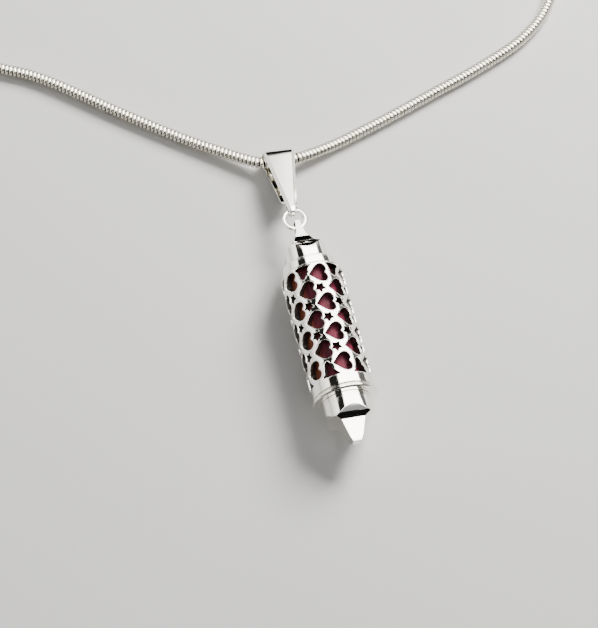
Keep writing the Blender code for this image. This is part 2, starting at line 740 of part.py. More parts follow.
smooth(clasp)

lever_axis = empty("lever_pivot", (lever_pin_at[0], lever_pin_at[1], 0.0), (0, 0, 0), clasp_pivot)
lever_reach = hook_x + 1.1 * mm - lever_pin_at[0]
lever_outline = [(-0.62 * mm, 0.42 * mm), (0.35 * mm, 0.45 * mm), (1.2 * mm, -0.05 * mm),
                 (lever_reach * 0.62, -0.62 * mm), (lever_reach, -0.62 * mm),
                 (lever_reach * 0.94, -1.35 * mm), (lever_reach * 0.55, -1.45 * mm), (1.4 * mm, -1.25 * mm), (0.5 * mm, -1.75 * mm),
                 (-0.45 * mm, -1.95 * mm), (-0.85 * mm, -1.25 * mm), (-0.78 * mm, -0.4 * mm)]
lever = make("clasp_lever", *prism(lever_outline, -lever_thickness / 2, lever_thickness / 2),
             look=CHAIN_SILVER, parent=lever_axis)
combine(lever, "DIFFERENCE", prism(circle(pin_radius + pin_gap, 14), -2 * half_t, 2 * half_t),
        "lever_pin_cutter", lever_axis)
pin_points, pin_faces = prism(circle(pin_radius, 14), -half_t + 0.05 * mm, half_t - 0.05 * mm)
smooth(make("clasp_pin", pin_points, pin_faces, look=CHAIN_SILVER, parent=clasp_pivot,
            place=(lever_pin_at[0], lever_pin_at[1], 0.0)))
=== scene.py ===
"""Looks of a mezuzah case pendant: an openwork silver tube over a maroon liner, closed by a screw
cap, hung from a jump ring and a folded bail on a snake chain with a lobster clasp."""

import json
import math

import bmesh
import bpy
import numpy as np
from mathutils import Matrix, Vector
from mathutils.geometry import delaunay_2d_cdt

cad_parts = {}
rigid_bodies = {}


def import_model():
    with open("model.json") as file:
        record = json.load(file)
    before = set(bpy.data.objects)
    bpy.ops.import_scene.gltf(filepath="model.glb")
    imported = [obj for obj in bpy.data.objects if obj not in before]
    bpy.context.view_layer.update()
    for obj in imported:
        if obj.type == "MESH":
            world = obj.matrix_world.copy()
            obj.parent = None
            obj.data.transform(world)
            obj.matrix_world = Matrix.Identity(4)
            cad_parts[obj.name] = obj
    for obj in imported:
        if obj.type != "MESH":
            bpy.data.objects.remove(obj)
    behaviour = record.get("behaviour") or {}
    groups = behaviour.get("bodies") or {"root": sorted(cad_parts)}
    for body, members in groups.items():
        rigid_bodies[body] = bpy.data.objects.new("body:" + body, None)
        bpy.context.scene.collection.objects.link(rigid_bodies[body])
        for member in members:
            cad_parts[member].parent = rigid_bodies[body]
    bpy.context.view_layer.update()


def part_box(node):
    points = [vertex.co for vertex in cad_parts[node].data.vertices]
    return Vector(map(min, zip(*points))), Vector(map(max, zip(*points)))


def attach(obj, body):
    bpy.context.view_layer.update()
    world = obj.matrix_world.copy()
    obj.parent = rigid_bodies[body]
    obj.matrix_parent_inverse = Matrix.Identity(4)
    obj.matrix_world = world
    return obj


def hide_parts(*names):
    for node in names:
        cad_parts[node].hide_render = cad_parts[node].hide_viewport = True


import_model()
mm = 0.001

# ------------------------------------------------------------------------------ the camera
# It stands beyond the cap's tip and a little to the left, and looks down on the pendant as
# it lies on its side, at the height from which a jeweller would show it.
lens = bpy.data.cameras.new("camera")
lens.sensor_width = 36.0
lens.lens = 134.57
lens.clip_start = 0.01
camera = bpy.data.objects.new("camera", lens)
bpy.context.scene.collection.objects.link(camera)
right = Vector((0.97065, -0.23431, 0.05422))
up = Vector((0.18245, 0.86428, 0.46876))
back = Vector((-0.15670, -0.44510, 0.88166))
stand = Vector((-0.06143, -0.168807, 0.33114))
camera.matrix_world = Matrix(((right.x, up.x, back.x, stand.x), (right.y, up.y, back.y, stand.y),
                              (right.z, up.z, back.z, stand.z), (0.0, 0.0, 0.0, 1.0)))
bpy.context.scene.camera = camera

# ------------------------------------------------------------------------- the snake chain
# A 2 mm snake chain: hundreds of thin wavy silver rings, close-set on each other, so that it
# bends like a cord. It lies on the surface, passes through the bail, and the length that isn't
# needed is wound in a flat coil, with its end curled inside.
chain_diameter = 2.0 * mm
link_pitch = 0.69 * mm


def node(tree, kind, **values):
    """A node with its settings; a value for an input is given by the input's name or number."""
    made = tree.nodes.new(kind)
    for key, value in values.items():
        if key == "at":
            for socket, content in value.items():
                made.inputs[socket].default_value = content
        else:
            setattr(made, key, value)
    return made


def wired(tree, *pairs):
    """Joins outputs to inputs, pair by pair."""
    for source, target in pairs:
        tree.links.new(source, target)


def new_material(name):
    """A material of one Principled shader, with its node tree and that shader."""
    material = bpy.data.materials.new(name)
    material.use_nodes = True
    return material, material.node_tree, material.node_tree.nodes["Principled BSDF"]


def ramp_of(tree, *stops):
    """A colour ramp from its stops, each a place and a colour."""
    made = tree.nodes.new("ShaderNodeValToRGB")
    elements = made.color_ramp.elements
    while len(elements) > 1:
        elements.remove(elements[-1])
    for k, (place, colour) in enumerate(stops):
        stop = elements[0] if k == 0 else elements.new(place)
        stop.position = place
        stop.color = (*colour, 1.0)
    return made


def silver(name, tint, roughness, scratches, gap_shade_tint=None):
    """Polished silver: cloudy roughness, hair-fine polishing scratches and a faint warm bloom.
    With a shade tint, the piece's own gap shade attribute paints shade into the colour, darker where parts
    meet."""
    material, tree, shader = new_material(name)
    shader.inputs["Metallic"].default_value = 1.0
    place = node(tree, "ShaderNodeTexCoord")
    bloom = node(tree, "ShaderNodeTexNoise", at={"Scale": 420.0, "Detail": 5.0, "Roughness": 0.6})
    duller = (tint[0] * 0.93, tint[1] * 0.915, tint[2] * 0.88)
    colour = ramp_of(tree, (0.32, duller), (0.68, tint))
    finish = colour.outputs["Color"]
    # Painted shade: the colour is mixed toward the dark tint by the piece's own attribute.
    if gap_shade_tint:
        painted_shade_attribute = node(tree, "ShaderNodeAttribute", attribute_name="hollow")
        mix = node(tree, "ShaderNodeMix", data_type="RGBA")
        wired(tree, (painted_shade_attribute.outputs["Fac"], mix.inputs["Factor"]), (finish, mix.inputs[6]))
        mix.inputs[7].default_value = (*gap_shade_tint, 1.0)
        finish = mix.outputs[2]
    gloss = node(tree, "ShaderNodeMapRange", at={"To Min": roughness * 0.6, "To Max": roughness * 1.6})
    stretch = node(tree, "ShaderNodeMapping", at={"Rotation": (0.2, 0.3, 0.5),
                                                  "Scale": (1500.0, 26000.0, 1500.0)})
    hair = node(tree, "ShaderNodeTexNoise", at={"Scale": 1.0, "Detail": 3.0})
    bump = node(tree, "ShaderNodeBump", at={"Strength": scratches, "Distance": 0.00001})
    wired(tree, (place.outputs["Object"], bloom.inputs["Vector"]),
          (bloom.outputs["Fac"], colour.inputs["Fac"]), (finish, shader.inputs["Base Color"]),
          (bloom.outputs["Fac"], gloss.inputs["Value"]),
          (gloss.outputs["Result"], shader.inputs["Roughness"]),
          (place.outputs["Object"], stretch.inputs["Vector"]),
          (stretch.outputs["Vector"], hair.inputs["Vector"]), (hair.outputs["Fac"], bump.inputs["Height"]),
          (bump.outputs["Normal"], shader.inputs["Normal"]))
    return material


def piece_from(name, points, faces, *materials, smooth=True):
    """A mesh object of its own at the origin, with its faces turned outwards."""
    mesh = bpy.data.meshes.new(name)
    mesh.from_pydata([tuple(p) for p in points], [], [tuple(f) for f in faces])
    shape = bmesh.new()
    shape.from_mesh(mesh)
    bmesh.ops.recalc_face_normals(shape, faces=shape.faces)
    shape.to_mesh(mesh)
    shape.free()
    for material in materials:
        mesh.materials.append(material)
    piece = bpy.data.objects.new(name, mesh)
    bpy.context.scene.collection.objects.link(piece)
    if smooth:
        mesh.shade_smooth()
    return piece


def bands(rows, count):
    """Four-sided faces between so many closed rings of points, each of the same count."""
    return [[row * count + k, row * count + (k + 1) % count, (row + 1) * count + (k + 1) % count,
             (row + 1) * count + k] for row in range(rows - 1) for k in range(count)]


def settled(piece, sharp=None):
    """The piece with its modifiers made into plain mesh."""
    bpy.context.view_layer.update()
    seen = piece.evaluated_get(bpy.context.evaluated_depsgraph_get())
    mesh = bpy.data.meshes.new_from_object(seen)
    name = piece.name
    materials = [slot for slot in mesh.materials]
    bpy.data.objects.remove(piece, do_unlink=True)
    mesh.name = name
    done = bpy.data.objects.new(name, mesh)
    bpy.context.scene.collection.objects.link(done)
    if not any(materials):
        mesh.materials.clear()
    mesh.shade_smooth()
    if sharp is not None:
        mesh.set_sharp_from_angle(angle=math.radians(sharp))
    return done


def smooth_curve(route, parts=24):
    """Fine points on a smooth curve through the route, so many to each of its spans."""
    ends = [route[0] * 2 - route[1]] + route + [route[-1] * 2 - route[-2]]
    fine = []
    for k in range(1, len(ends) - 2):
        a, b, c, d = ends[k - 1:k + 3]
        for j in range(parts):
            t = j / parts
            fine.append(0.5 * ((2 * b) + (c - a) * t + (2 * a - 5 * b + 4 * c - d) * t * t
                               + (3 * b - a - 3 * c + d) * t ** 3))
    fine.append(route[-1])
    return fine


lie = chain_diameter / 2
bail_lean = math.radians(3.5)
bail_pivot = Vector((0.53374 * mm, 25.56205 * mm, 2.1 * mm))
along = Vector((math.cos(bail_lean), -math.sin(bail_lean), 0.0))
across = Vector((math.sin(bail_lean), math.cos(bail_lean), 0.0))
in_bail = bail_pivot + across * 0.35 * mm - Vector((0.0, 0.0, 0.1 * mm))
left_route = [(-50.2, 64.4), (-48.2, 60.0), (-44.9, 56.4), (-40.9, 53.6), (-35.9, 51.0), (-31.2, 47.6),
              (-23.2, 41.0), (-14.3, 34.1)]
right_route = [(11.8, 28.0), (20.4, 30.9), (29.3, 34.2), (37.8, 37.4), (46.4, 41.4), (52.4, 46.4),
               (56.2, 53.0)]
side = 3.1 * mm
sunk = Vector((0.0, 0.0, 0.5 * mm))
route = [Vector((x * mm, y * mm, lie)) for x, y in left_route]
route.append(in_bail - along * (side + 3.5 * mm) + across * 1.9 * mm - sunk)
route += [in_bail - along * side, in_bail - along * side / 2, in_bail, in_bail + along * side / 2,
          in_bail + along * side]
route.append(in_bail + along * (side + 3.1 * mm) + across * 0.95 * mm - sunk)
route += [Vector((x * mm, y * mm, lie)) for x, y in right_route]
coil_low, coil_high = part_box("chain_coil")
coil_centre = (coil_low + coil_high) / 2
coil_start = math.radians(-33.0)
route.append(coil_centre + Vector((math.cos(coil_start), math.sin(coil_start), 0.0)) * 18.4 * mm)
route[-1].z = lie
path = [Vector((p.x, p.y, max(p.z, lie))) for p in smooth_curve(route, 12)]
coil_outer = 16.1 * mm
coil_pitch = 2.15 * mm
eased_in = math.radians(60.0)
for k in range(1, 4 * 72 + 8):
    turn = coil_start + math.radians(5.0) * k
    if turn > 8 * math.pi:
        break
    wound = coil_outer - coil_pitch * turn / (2 * math.pi)
    t = min(1.0, (turn - coil_start) / eased_in)
    wound += (1 - t) ** 3 * (18.4 * mm - coil_outer - coil_pitch * 0.092)
    path.append(Vector((coil_centre.x + wound * math.cos(turn), coil_centre.y + wound * math.sin(turn), lie)))
tail_bend = 4.3 * mm
tail_centre = Vector((coil_centre.x + 7.5 * mm - tail_bend, coil_centre.y, lie))
for k in range(27):
    turn = math.radians(5.0 * k)
    path.append(tail_centre + Vector((math.cos(turn), math.sin(turn), 0.0)) * tail_bend)
path.append(path[-1] + Vector((-math.sin(turn), math.cos(turn), 0.0)) * 2.1 * mm)

sides = 14
link_points = []
link_gap_shade = []
# Each link's narrow ends and its crease carry a painted shade value: the colour is darkened there to stand in
# for the shade in the gaps between links.
for reach, radius, hollow in ((-0.5, 0.64, 1.0), (-0.34, 0.94, 0.0), (0.0, 1.0, 0.0), (0.34, 0.94, 0.0),
                              (0.5, 0.64, 1.0)):
    for k in range(sides):
        turn = 2 * math.pi * k / sides
        crease = abs(math.cos(turn - 2.70))
        wave = 0.30 * link_pitch * (crease - 0.5)
        dent = 1.0 - 0.07 * (crease > 0.97)
        link_points.append((reach * link_pitch + wave, radius * dent * lie * math.cos(turn),
                            radius * dent * lie * math.sin(turn)))
        link_gap_shade.append(max(hollow, 0.6 * (crease > 0.97)))
link_faces = bands(5, sides) + [list(range(sides)), list(range(5 * sides - 1, 4 * sides - 1, -1))]
# The near-black tint is the painted shade in the gaps between the links.
chain_silver = silver("chain_silver", (0.93, 0.90, 0.80), 0.11, 0.10, gap_shade_tint=(0.05, 0.045, 0.04))
link = piece_from("chain_link", link_points, link_faces, chain_silver)
painted_shade_attribute = link.data.attributes.new("hollow", "FLOAT", "POINT")
painted_shade_attribute.data.foreach_set("value", link_gap_shade)
link.data.set_sharp_from_angle(angle=math.radians(60.0))

chain_tree = bpy.data.node_groups.new("links_along_path", "GeometryNodeTree")
for label, kind in (("Path", "NodeSocketGeometry"), ("Link", "NodeSocketObject"),
                    ("Pitch", "NodeSocketFloat"), ("Silver", "NodeSocketMaterial")):
    chain_tree.interface.new_socket(name=label, in_out="INPUT", socket_type=kind)
chain_tree.interface.new_socket(name="Chain", in_out="OUTPUT", socket_type="NodeSocketGeometry")
start = node(chain_tree, "NodeGroupInput")
spaced = node(chain_tree, "GeometryNodeResampleCurve", mode="LENGTH")
heading = node(chain_tree, "GeometryNodeInputTangent")
level = node(chain_tree, "FunctionNodeAlignRotationToVector", axis="X", pivot_axis="Z")
tilt = node(chain_tree, "FunctionNodeAlignRotationToVector", axis="X", pivot_axis="AUTO")
given = node(chain_tree, "GeometryNodeObjectInfo", transform_space="ORIGINAL")
strung = node(chain_tree, "GeometryNodeInstanceOnPoints")
real = node(chain_tree, "GeometryNodeRealizeInstances")
coated = node(chain_tree, "GeometryNodeSetMaterial")
done = node(chain_tree, "NodeGroupOutput")
wired(chain_tree, (start.outputs["Path"], spaced.inputs["Curve"]),
      (start.outputs["Pitch"], spaced.inputs["Length"]),
      (heading.outputs["Tangent"], level.inputs["Vector"]),
      (level.outputs["Rotation"], tilt.inputs["Rotation"]),
      (heading.outputs["Tangent"], tilt.inputs["Vector"]),
      (start.outputs["Link"], given.inputs["Object"]), (spaced.outputs["Curve"], strung.inputs["Points"]),
      (given.outputs["Geometry"], strung.inputs["Instance"]),
      (tilt.outputs["Rotation"], strung.inputs["Rotation"]),
      (strung.outputs["Instances"], real.inputs["Geometry"]),
      (real.outputs["Geometry"], coated.inputs["Geometry"]),
      (start.outputs["Silver"], coated.inputs["Material"]),
      (coated.outputs["Geometry"], done.inputs["Chain"]))

line = bpy.data.curves.new("snake_chain", "CURVE")
line.dimensions = "3D"
spline = line.splines.new("POLY")
spline.points.add(len(path) - 1)
for point, place in zip(spline.points, path):
    point.co = (*place, 1.0)
chain = bpy.data.objects.new("snake_chain", line)
bpy.context.scene.collection.objects.link(chain)
strings = chain.modifiers.new("links", "NODES")
strings.node_group = chain_tree
sockets = {item.name: item.identifier for item in chain_tree.interface.items_tree
           if item.in_out == "INPUT"}
strings[sockets["Link"]] = link
strings[sockets["Pitch"]] = link_pitch
strings[sockets["Silver"]] = chain_silver
chain = settled(chain, 60.0)
bpy.data.objects.remove(link, do_unlink=True)
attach(chain, "chain")
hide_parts("chain_run", "chain_coil", "chain_tail")

# --------------------------------------------------------------------------------- the bail
# One strip of sheet silver, cut to a long taper, folded over the chain with its wide middle up
# and curled at its narrow end round the jump ring; the other end is closed against its back.
polished = silver("polished_silver", (0.94, 0.925, 0.885), 0.055, 0.06)


def in_bail_place(x, y, z):
    """A point given from the bail's own hinge line, in millimetres, as it leans on the surface."""
    cos, sin = math.cos(bail_lean), math.sin(bail_lean)
    return (bail_pivot.x + (x * cos + y * sin) * mm, bail_pivot.y + (-x * sin + y * cos) * mm,
            bail_pivot.z + z * mm)


def ribbon(name, line, widths, thickness, bevel, place, material):
    """A strip of sheet swept along a line of (y, z), with its own width at each point of it. The
    line runs through the middle of the sheet, and the side that shows has broad bevels."""
    points = []
    count = len(line)
    for k, (y, z) in enumerate(line):
        before = line[max(0, k - 1)]
        after = line[min(count - 1, k + 1)]
        run = math.hypot(after[0] - before[0], after[1] - before[1])
        ny, nz = -(after[1] - before[1]) / run, (after[0] - before[0]) / run
        half, deep = widths[k] / 2, thickness / 2
        show = [(half, deep - bevel), (half - bevel * 0.93, deep - 0.05),
                (half - bevel * 1.16, deep - 0.012), (half - bevel * 1.4, deep)]
        section = [(-x, -n) for x, n in show] + [(x, -n) for x, n in show[::-1]]
        section += [(half, deep - 0.05), (half - 0.05, deep), (0.05 - half, deep), (-half, deep - 0.05)]
        points += [place(x, y + n * ny, z + n * nz) for x, n in section]
    ring = 12
    faces = bands(count, ring) + [list(range(ring)),
                                  list(range(count * ring - 1, (count - 1) * ring - 1, -1))]
    return piece_from(name, points, faces, material)


fold = 1.825
curl = (-11.2, 3.1)
curl_middle = 0.94
sheet = 0.45
slope = math.atan2(curl[1], -curl[0])
open_angle = math.asin((fold - curl_middle) / math.hypot(*curl))
front = math.pi / 2 - slope + open_angle
strip = []
back_end = (-8.2, 0.62)
leave = math.radians(-100.0)
strip += [(back_end[0] + (fold * math.cos(leave) - back_end[0]) * t,
           back_end[1] + (fold * math.sin(leave) - back_end[1]) * t) for t in np.linspace(0.0, 1.0, 14)[:-1]]
strip += [(fold * math.cos(a), fold * math.sin(a)) for a in np.linspace(leave, front, 34)[:-1]]
touch = (curl[0] + curl_middle * math.cos(front), curl[1] + curl_middle * math.sin(front))
crown = (fold * math.cos(front), fold * math.sin(front))
strip += [(crown[0] + (touch[0] - crown[0]) * t, crown[1] + (touch[1] - crown[1]) * t)
          for t in np.linspace(0.0, 1.0, 26)[:-1]]
strip += [(curl[0] + curl_middle * math.cos(a), curl[1] + curl_middle * math.sin(a))
          for a in np.linspace(front, front + math.radians(268.0), 30)]
widths = [1.2 + (5.2 - 1.2) * min(1.0, max(0.0, (y + 12.3) / (12.3 + 1.2))) for y, _ in strip]
bail = ribbon("folded_bail", strip, widths, sheet, 0.36, in_bail_place, polished)
bail.data.set_sharp_from_angle(angle=math.radians(17.0))
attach(bail, "bail")
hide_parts("bail")

# ---------------------------------------------------------------------------- the jump ring
# A ring of round silver wire, sawn from a coil, closed and soldered; the joint shows as a
# faint line on its left.
ring_low, ring_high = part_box("jump_ring")
ring_centre = (ring_low + ring_high) / 2
ring_wire = 0.375 * mm
ring_mean = (ring_high.x - ring_low.x) / 2 - ring_wire


def wire_ring(name, centre, flat_x, flat_y, mean, wire, material, around=96, section=20, joint=None):
    """A ring of round wire in the plane of two directions, with the file mark of its joint."""
    out = flat_x.cross(flat_y)
    points = []
    for i in range(around):
        a = 2 * math.pi * i / around
        spoke = flat_x * math.cos(a) + flat_y * math.sin(a)
        pinch = 1.0
        if joint is not None:
            gap = (a - joint + math.pi) % (2 * math.pi) - math.pi
            pinch = 1.0 - 0.07 * math.exp(-(gap / 0.035) ** 2)
        for j in range(section):
            b = 2 * math.pi * j / section
            points.append(centre + spoke * (mean + wire * pinch * math.cos(b))
                          + out * wire * pinch * math.sin(b))
    faces = [[i * section + j, (i + 1) % around * section + j,
              (i + 1) % around * section + (j + 1) % section, i * section + (j + 1) % section]
             for i in range(around) for j in range(section)]
    return piece_from(name, points, faces, material)


jump = wire_ring("jump_ring_wire", ring_centre, Vector((1, 0, 0)), Vector((0, 1, 0)), ring_mean, ring_wire,
                 polished, joint=math.radians(170.0))
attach(jump, "jump_ring")
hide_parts("jump_ring")

# ------------------------------------------------------------- the top cap and its lug
# A cylinder cast in one with the lug above it: four facets lean in from the round, step in to
# a neck and end in a thin plate with the hole for the jump ring.
case_roll = math.radians(4.0)
sleeve_low, sleeve_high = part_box("openwork_sleeve")
sleeve_y = sleeve_low.y / mm
sleeve_length = (sleeve_high.y - sleeve_low.y) / mm
axis_z = 5.2


def on_case(x, y, z):
    """A point given from the case's own axis, in millimetres, as the case lies rolled a little."""
    cos, sin = math.cos(case_roll), math.sin(case_roll)
    return ((x * cos + z * sin) * mm, y * mm, (axis_z - x * sin + z * cos) * mm)


def eased(profile, size):
    """A profile with each corner that isn't on the axis turned over a small radius."""
    done = [profile[0]]
    for before, corner, after in zip(profile, profile[1:], profile[2:]):
        back = math.dist(corner, before)
        on = math.dist(corner, after)
        cut = min(size, back * 0.45, on * 0.45)
        start = [corner[i] + (before[i] - corner[i]) * cut / back for i in (0, 1)]
        end = [corner[i] + (after[i] - corner[i]) * cut / on for i in (0, 1)]
        for t in (0.0, 0.25, 0.5, 0.75, 1.0):
            done.append(tuple(start[i] * (1 - t) ** 2 + 2 * corner[i] * t * (1 - t) + end[i] * t * t
                              for i in (0, 1)))
    return done + [profile[-1]]


def turned(name, profile, y, material, steps=128, loop=False):
    """A lathe-turned piece about the case's axis from a profile of (y, radius)."""
    points = []
    rows = []
    for along_axis, r in profile:
        if r == 0.0:
            rows.append([len(points)])
            points.append(on_case(0.0, y + along_axis, 0.0))
            continue
        rows.append(list(range(len(points), len(points) + steps)))
        for k in range(steps):
            a = 2 * math.pi * (k + 0.5) / steps
            points.append(on_case(r * math.sin(a), y + along_axis, r * math.cos(a)))
    pairs = list(zip(rows, rows[1:]))
    if loop:
        pairs.append((rows[-1], rows[0]))
    faces = []
    for low, high in pairs:
        for k in range(steps):
            n = (k + 1) % steps
            if len(low) == 1:
                faces.append((low[0], high[k], high[n]))
            elif len(high) == 1:
                faces.append((low[k], low[n], high[0]))
            else:
                faces.append((low[k], low[n], high[n], high[k]))
    return piece_from(name, points, faces, material)


def four_sided(stations):
    """Square sections (y, half width, half height) along the case, joined into one solid."""
    points = [on_case(x, y, z) for y, hx, hz in stations
              for x, z in ((-hx, -hz), (hx, -hz), (hx, hz), (-hx, hz))]
    return points, bands(len(stations), 4) + [[0, 1, 2, 3], [len(points) - 1 - k for k in range(4)]]


def cut(piece, operation, shape, name):
    """Adds a cut by a shape to the piece, and gives the tool, to be removed once it is made."""
    tool = piece_from(name, *shape)
    step = piece.modifiers.new(name, "BOOLEAN")
    step.operation = operation
    step.solver = "EXACT"
    step.object = tool
    return tool


def dressed(piece, tools, edge, sharp):
    """Applies the cuts, then breaks every edge a little as a polishing wheel does."""
    broken = piece.modifiers.new("broken_edges", "BEVEL")
    broken.width = edge * mm
    broken.segments = 2
    broken.limit_method = "ANGLE"
    broken.angle_limit = math.radians(14.0)
    broken.harden_normals = False
    broken.use_clamp_overlap = True
    done = settled(piece, sharp)
    for tool in tools:
        bpy.data.objects.remove(tool, do_unlink=True)
    return done


top_low, top_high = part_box("top_cap")
lug_top = top_high.y / mm
lug_y = lug_top - 6.6
top_cap_y = lug_y - 2.0
cap_round = 3.45
stud = 1.9
lug_facet_half = 1.7
top = turned("top_cap_and_lug", [(-2.95, 0.0), (-2.95, stud), (0.1, stud), (0.1, cap_round - 0.07),
                                 (0.17, cap_round), (9.0, cap_round), (9.0, 0.0)], top_cap_y, polished)
flat = math.sqrt(cap_round ** 2 - lug_facet_half ** 2)
shoulder = cap_round + (cap_round - flat) / 0.8
blank = four_sided([(lug_y + y, x, z) for y, x, z in (
    (-8.0, 8.0, 8.0), (-1.5, 8.0, 8.0), (-1.0, shoulder, shoulder), (0.8, flat, flat), (2.12, 1.62, 1.62),
    (3.18, 1.15, 1.15), (3.45, 0.94, 1.10), (3.85, 0.74, 1.06), (4.6, 0.57, 0.99), (6.4, 0.38, 0.85),
    (6.6, 0.28, 0.65))])
lug_tool = cut(top, "INTERSECT", blank, "lug_blank")
hole_radius = 0.68
hole_drop = 1.3
hole = [(hole_radius * math.cos(2 * math.pi * k / 40), hole_radius * math.sin(2 * math.pi * k / 40))
        for k in range(40)]
drill = ([on_case(x, lug_top - hole_drop + u, v) for x in (-3.0, 3.0) for u, v in hole],
         [list(range(40)), list(range(79, 39, -1))] + [[k, (k + 1) % 40, 40 + (k + 1) % 40, 40 + k]
                                                       for k in range(40)])
hole_tool = cut(top, "DIFFERENCE", drill, "lug_drill")
top = dressed(top, (lug_tool, hole_tool), 0.05, 13.0)
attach(top, "case")
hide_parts("top_cap")

# ---------------------------------------------------------------------- the shoulder collar
# A turned silver step between the cap and the sleeve, soldered to both. A plug below it fits the
# liner, and its bore takes the top cap's stud.
collar_y = sleeve_y + sleeve_length
collar = turned("turned_collar", eased([
    (-1.5, 2.0), (-1.5, 3.25), (0.1, 3.25), (0.1, 4.4), (1.7, 4.4), (1.7, 2.0)], 0.12)[1:-1] +
    [(1.7, 2.0), (-1.5, 2.0)], collar_y, polished, loop=True)
collar.data.set_sharp_from_angle(angle=math.radians(40.0))
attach(collar, "case")
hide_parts("shoulder_collar")

# ---------------------------------------------------------------------- the openwork sleeve
# A cast silver tube, pierced with twelve columns of hearts that all point the same way, a small
# star between each two, and larger openings where every other column meets an end. Its face is
# polished, and the walls of the openings and the bore are painted near-black as painted shade.
outer = 5.0
inside = 3.85
columns = 12
heart_size = 3.15
heart_pitch = 5.28
first_heart = 2.1
star_size = 1.68
star_shift = 0.35
rib = 0.45
plain_rim = 0.4
plain_band = 1.7
girth = 2 * math.pi * outer


def heart(size, steps=44):
    """A fat heart: its point towards -u, its notch towards +u."""
    shape = []
    for k in range(steps):
        t = 2 * math.pi * k / steps
        wide = 16 * math.sin(t) ** 3
        tall = 13 * math.cos(t) - 5 * math.cos(2 * t) - 2 * math.cos(3 * t) - math.cos(4 * t)
        fuller = (0.02 * size + 0.47 * size * math.cos(t), 0.5 * size * math.sin(t))
        shape.append(((tall + 2.5) / 29 * size * 0.68 + fuller[0] * 0.32,
                      wide / 32 * size * 0.68 + fuller[1] * 0.32))
    return np.array(shape)


def star(size):
    """A fat five-pointed star with one point down and slightly rounded tips."""
    shape = []
    for k in range(10):
        turn = -math.pi / 2 + math.pi * k / 5
        reach = size / 2 * (1.0 if k % 2 == 0 else 0.64)
        for step, share in ((-0.10, 0.965), (0.0, 1.0), (0.10, 0.965)) if k % 2 == 0 else ((0.0, 1.0),):
            shape.append((reach * share * math.cos(turn + step), reach * share * math.sin(turn + step)))
    return np.array(shape)


def softened_outline(corners, steps=4):
    """A corner outline with points along its sides and its corners a little rounded."""
    shape = []
    count = len(corners)
    for k in range(count):
        before, corner, after = (np.array(corners[(k + j) % count]) for j in (-1, 0, 1))
        for t in np.linspace(0.0, 1.0, steps):
            start = corner + (before - corner) * 0.22
            end = corner + (after - corner) * 0.22
            shape.append(start * (1 - t) ** 2 + 2 * corner * t * (1 - t) + end * t * t)
        middle = corner + (after - corner) * 0.5
        shape.append(middle)
    return np.array(shape)


def end_opening(away):
    """The opening between two hearts and the tube's plain end: wide at v = 0, narrow at v = away."""
    spacing = girth / columns
    waist = spacing - heart_size / 2 - rib
    turn = math.copysign(1.0, away)
    deep = abs(away)
    corners = [(-0.50 * spacing, 0.0), (0.68 * spacing, 0.0), (0.46 * spacing, 0.24 * deep),
               (1.1 * waist, 0.52 * deep), (0.9 * waist, 0.80 * deep), (0.05 * spacing, deep),
               (-0.8 * waist, 0.84 * deep), (-waist, 0.50 * deep), (-0.30 * spacing, 0.22 * deep)]
    return softened_outline([(u, turn * v) for u, v in corners])


openings = []
for column in range(columns):
    u = girth * column / columns
    odd = column % 2
    top_heart = sleeve_length - first_heart - odd * heart_pitch / 2
    count = 3 if odd else 4
    for k in range(count):
        v = top_heart - k * heart_pitch
        openings.append((u, v, heart(heart_size), 0.07))
        if k < count - 1:
            openings.append((u - star_shift, v - heart_pitch / 2, star(star_size), 0.08))
    if odd:
        high = sleeve_length - plain_rim
        openings.append((u, high, end_opening(top_heart + heart_size / 2 + rib - high), 0.09))
        low = top_heart - (count - 1) * heart_pitch
        openings.append((u, plain_band, end_opening(low - heart_size / 2 - rib - plain_band), 0.09))


def grown(outline, share):
    """The outline made larger about its own middle."""
    middle = (outline.min(0) + outline.max(0)) / 2
    return middle + (outline - middle) * (1.0 + share)


def within(points, outline):
    """Which of the points lie inside the outline."""
    hit = np.zeros(len(points), bool)
    a = outline
    b = np.roll(outline, -1, 0)
    for (ax, ay), (bx, by) in zip(a, b):
        if ay == by:
            continue
        spans = (points[:, 1] > ay) != (points[:, 1] > by)
        hit ^= spans & (points[:, 0] < (bx - ax) * (points[:, 1] - ay) / (by - ay) + ax)
    return hit


def covered(points, extra):
    """Which points of the unrolled wall lie inside an opening, grown by its own share and more."""
    hit = np.zeros(len(points), bool)
    for u, v, outline, share in openings:
        local = points - np.array((u, v))
        local[:, 0] = (local[:, 0] + girth / 2) % girth - girth / 2
        near = (np.abs(local[:, 0]) < 2.6) & (np.abs(local[:, 1]) < 3.2)
        hit[near] |= within(local[near], grown(outline, share + extra))
    return hit


low_edge = 0.10
high_edge = 0.20
around = 120
flat_points = []
loops = []
for u, v, outline, share in openings:
    loop = grown(outline, share) + np.array((u, v))
    loops.append(list(range(len(flat_points), len(flat_points) + len(loop))))
    flat_points += [tuple(p) for p in loop]
rims = []
for v in (low_edge, sleeve_length - high_edge):
    rims.append(list(range(len(flat_points), len(flat_points) + around)))
    flat_points += [(girth * k / around, v) for k in range(around)]
spread = 0.27
rows = int((sleeve_length - low_edge - high_edge) / (spread * 0.866))
filling = []
for row in range(1, rows):
    v = low_edge + (sleeve_length - low_edge - high_edge) * row / rows
    filling += [(girth * (k + 0.5 * (row % 2)) / around, v) for k in range(around)]
filling = np.array(filling)
filling = filling[~covered(filling, 0.05)]
flat_points = np.array(flat_points + [tuple(p) for p in filling])
swell = np.exp(flat_points[:, 1] / outer)
ring_map = [Vector((s * math.cos(u / outer), s * math.sin(u / outer)))
            for s, (u, v) in zip(swell, flat_points)]
borders = [(loop[k], loop[(k + 1) % len(loop)]) for loop in loops + rims for k in range(len(loop))]
_, _, triangles, source, _, _ = delaunay_2d_cdt(ring_map, borders, [], 0, 1e-7)
triangles = np.array([[source[i][0] for i in tri] for tri in triangles])
